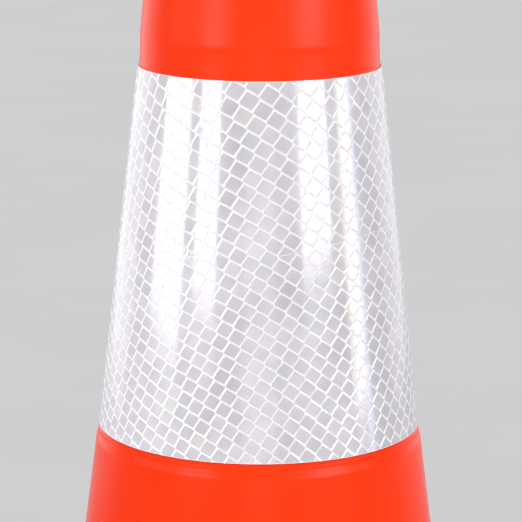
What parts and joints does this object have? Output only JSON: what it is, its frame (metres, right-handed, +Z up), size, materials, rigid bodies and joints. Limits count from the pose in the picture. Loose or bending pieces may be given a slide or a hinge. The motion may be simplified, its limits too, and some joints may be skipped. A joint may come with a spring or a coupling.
{
  "type": "traffic cone",
  "caption": "Hollow flexible cone in a weighted square base, with a slip-on reflective sleeve that lifts off over the open tip.",
  "frame": {"origin": "centre of the base's footprint, on the ground", "axes": "+Z up along the cone's axis towards the tip; the sleeve's overlap seam faces +Y and the front faces -Y; X and Y run along the base's sides"},
  "size_m": [0.37, 0.37, 0.7],
  "materials": {
    "red_pvc": "semi-gloss fluorescent red-orange PVC",
    "black_rubber": "matt recycled black rubber with fine moulded grain",
    "prismatic_film": "glossy clear micro-prismatic film with a white diagonal weld lattice",
    "white_backing": "plain white PVC sheet"
  },
  "bodies": {
    "cone": {"cone_body": "red_pvc", "weighted_base": "black_rubber"},
    "sleeve": {"sleeve_face_film": "prismatic_film", "sleeve_backing": "white_backing"}
  },
  "joints": [
    {"name": "sleeve_lift", "type": "slide", "parent": "cone", "child": "sleeve", "axis": [0, 0, 1], "range_m": [0, 0.28]}
  ]
}
